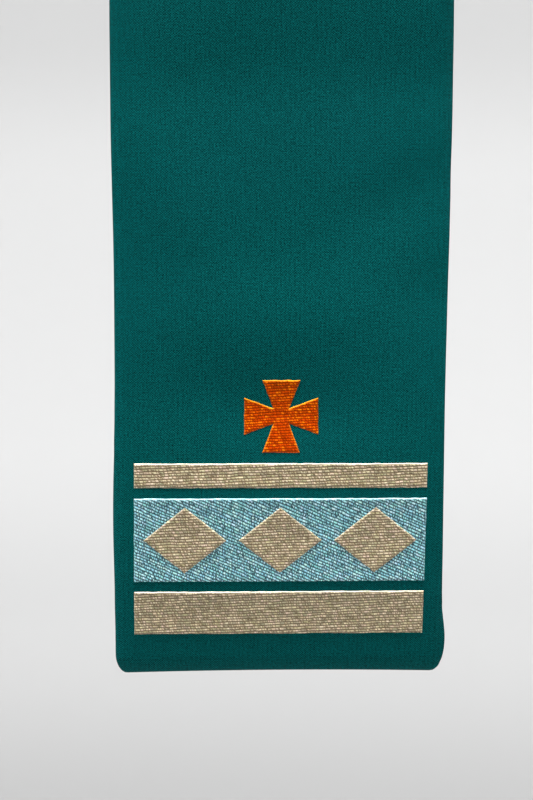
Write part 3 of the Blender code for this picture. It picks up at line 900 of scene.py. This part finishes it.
def thread_material(name):
    """Satin thread laid side by side, held down in grooves between the rows, with painted shade in the
    grooves and gaps, painted glints, a painted highlight along the upper edges, and painted shade and light
    near the edges.
    """
    thread = THREADS[name]
    nodes = Nodes(f"{name}_satin")
    _, along_mm, row = nodes.uv("stitch")
    in_row = nodes.math("FRACT", row)
    row_number = nodes.math("FLOOR", row)
    row_shift = nodes.add("ShaderNodeTexWhiteNoise", {"W": row_number}, noise_dimensions="1D")
    row_place = nodes.vector(along_mm, nodes.math("MULTIPLY", row_number, ROW_NOISE_STEP))
    sway = nodes.noise(row_place, THREAD_WANDER_PER_MM, detail=1.0)
    lean = nodes.math("MULTIPLY_ADD", sway, THREAD_WANDER, row_shift)
    lean = nodes.math("MULTIPLY_ADD", in_row, THREAD_LEAN, lean)
    threads_per_mm = (1 / THREAD_PITCH_MM, FEWEST_THREADS_SHARE / THREAD_PITCH_MM)
    pace = nodes.remap(row_shift, 0.0, 1.0, *threads_per_mm)
    thread_place = nodes.math("MULTIPLY_ADD", along_mm, pace, lean)
    thread_number = nodes.math("FLOOR", thread_place)
    ribbing = nodes.math("ABSOLUTE", nodes.math("SINE", nodes.math("MULTIPLY", thread_place, np.pi)))
    cushion = nodes.math("ABSOLUTE", nodes.math("SINE", nodes.math("MULTIPLY", row, np.pi)))
    stitch = nodes.vector(thread_number, row_number)
    chance = nodes.add("ShaderNodeTexWhiteNoise", {"Vector": stitch}, noise_dimensions="2D")
    tint = nodes.add("ShaderNodeTexWhiteNoise", {"Vector": stitch}, output=1, noise_dimensions="2D")
    cloud = nodes.noise(nodes.vector(along_mm, row), CLOUD_PER_MM, detail=3.0)
    # The painted highlight's share along the edges, and the painted shade and light near the edges
    _, rim, edge_shade = nodes.uv("rim")
    inside = nodes.math("SUBTRACT", 1.0, rim)
    # Painted shade in the grooves between the rows and in the gaps between the threads, kept off the smooth
    # band along the edges
    painted_groove_shade = nodes.math("MULTIPLY", nodes.remap(cushion, *ROW_IN_PAINTED_SHADE, 1.0, 0.0), inside)
    between = nodes.math("MULTIPLY", nodes.remap(ribbing, *THREAD_IN_PAINTED_SHADE, thread.parting, 0.0), inside)
    # Painted glints: stitches picked by chance are lightened towards the glint colour on the crests of the
    # rows
    painted_glint_mask = nodes.math("MULTIPLY", nodes.remap(chance, PAINTED_GLINT_FROM, 1.0, 0.0, PAINTED_GLINT_SHARE), cushion)
    # The painted highlight along the upper edges, laid over the thread and its painted glints
    colour = nodes.mix(rim, nodes.mix(painted_glint_mask, thread.colour, thread.speck), thread.rim)
    colour = nodes.mix(TINT_SHARE, colour, nodes.multiply(colour, nodes.scale_colour(tint, 1 / NOISE_MEAN)))
    # The painted shade of the grooves and gaps, laid over the colour
    colour = nodes.mix(nodes.math("MAXIMUM", painted_groove_shade, between), colour, thread.groove)
    light = nodes.remap(chance, 0.0, STITCH_LIGHT_UP_TO, *STITCH_LIGHT)
    light = nodes.uneven(light, cloud, THREAD_CLOUD_CONTRAST)
    # Painted shade just below an upper edge, and painted light just above a lower one
    light = nodes.math("MULTIPLY_ADD", nodes.math("MULTIPLY", edge_shade, inside), -thread.edge_shade, light)
    relief = nodes.math("MULTIPLY", ribbing, nodes.math("POWER", cushion, THREAD_RELIEF_POWER))
    relief = nodes.math("MULTIPLY_ADD", chance, STITCH_RELIEF, relief)
    return nodes.finish(
        nodes.scale_colour(colour, light),
        THREAD_ROUGHNESS,
        relief,
        THREAD_RELIEF_STRENGTH,
        Specular_Tint=(*thread.shine, 1.0),
        Specular_IOR_Level=THREAD_SHINE,
    )


def stage_material():
    """Pale and matt, with painted shade that makes it a little darker low down and high up."""
    nodes = Nodes("pale_stage")
    place = nodes.add("ShaderNodeNewGeometry", output="Position")
    height = nodes.add("ShaderNodeSeparateXYZ", {0: place}, output=2)
    ramp = nodes.tree.nodes.new("ShaderNodeValToRGB")
    nodes.put(ramp.inputs[0], nodes.remap(height, PAINTED_SHADES[0].height, PAINTED_SHADES[-1].height, 0.0, 1.0))
    span = PAINTED_SHADES[-1].height - PAINTED_SHADES[0].height
    ramp.color_ramp.interpolation = "EASE"
    ramp.color_ramp.elements.remove(ramp.color_ramp.elements[-1])
    for number, shade in enumerate(PAINTED_SHADES):
        place_on_ramp = (shade.height - PAINTED_SHADES[0].height) / span
        stop = ramp.color_ramp.elements[0] if number == 0 else ramp.color_ramp.elements.new(place_on_ramp)
        stop.position = place_on_ramp
        stop.color = (shade.grey, shade.grey, shade.grey, 1.0)
    nodes.put(nodes.shader.inputs["Base Color"], ramp.outputs[0])
    nodes.put(nodes.shader.inputs["Roughness"], STAGE_ROUGHNESS)
    nodes.put(nodes.shader.inputs["Specular IOR Level"], STAGE_SHINE)
    return nodes.material


def make_stage():
    angles = np.linspace(0.0, np.pi / 2, COVE_STEPS)
    cove_out = WALL_RADIUS - COVE_RADIUS * (1 - np.sin(angles))
    cove_up = FLOOR_HEIGHT + COVE_RADIUS * (1 - np.cos(angles))
    radii = np.concatenate(([WALL_RADIUS / 2], cove_out, [WALL_RADIUS]))
    heights = np.concatenate(([FLOOR_HEIGHT], cove_up, [WALL_TOP]))
    turns = 2 * np.pi * np.arange(ROOM_SIDES) / ROOM_SIDES
    points = [(0.0, 0.0, FLOOR_HEIGHT)]
    for radius, height in zip(radii, heights):
        points += [(radius * np.cos(t), radius * np.sin(t), height) for t in turns]
    rings = [1 + np.arange(ROOM_SIDES) + ROOM_SIDES * i for i in range(len(radii))]
    faces = [(0, int(a), int(b)) for a, b in zip(rings[0], np.roll(rings[0], -1))]
    for low, high in zip(rings, rings[1:]):
        corners = np.stack((low, high, np.roll(high, -1), np.roll(low, -1)), axis=-1)
        faces += [tuple(face) for face in corners.tolist()]
    make_object("stage_room", np.array(points), faces, False, {}, stage_material())


def make_lights():
    world = bpy.data.worlds.new("pale_studio")
    world.use_nodes = True
    background = world.node_tree.nodes["Background"]
    background.inputs["Color"].default_value = SKY_COLOUR
    background.inputs["Strength"].default_value = SKY_STRENGTH
    bpy.context.scene.world = world
    for sun in SUNS:
        light = bpy.data.lights.new(sun.name, "SUN")
        light.energy = sun.strength
        light.angle = np.radians(sun.softness)
        obj = bpy.data.objects.new(sun.name, light)
        obj.rotation_euler = (np.radians(90.0 - sun.elevation), 0.0, np.radians(sun.azimuth))
        bpy.context.scene.collection.objects.link(obj)


def make_camera():
    camera = bpy.data.cameras.new("camera")
    camera.lens = CAMERA_LENS
    camera.sensor_width = SENSOR_WIDTH
    obj = bpy.data.objects.new("camera", camera)
    obj.location = CAMERA_PLACE
    obj.rotation_euler = (np.radians(90.0 - CAMERA_PITCH), 0.0, 0.0)
    bpy.context.scene.collection.objects.link(obj)
    bpy.context.scene.camera = obj


def main():
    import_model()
    make_camera()
    make_lights()
    make_stage()
    cloth = cloth_material()
    threads = {name: thread_material(name) for name in THREADS}
    for side in ("left", "right"):
        half = ClothHalf(side)
        piece = make_cloth(half, side, cloth)
        stitched = make_end_embroidery(half, side, threads)
        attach(piece, "root")
        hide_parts(f"{side}_half")
    bpy.context.scene.view_settings.view_transform = "Standard"


main()
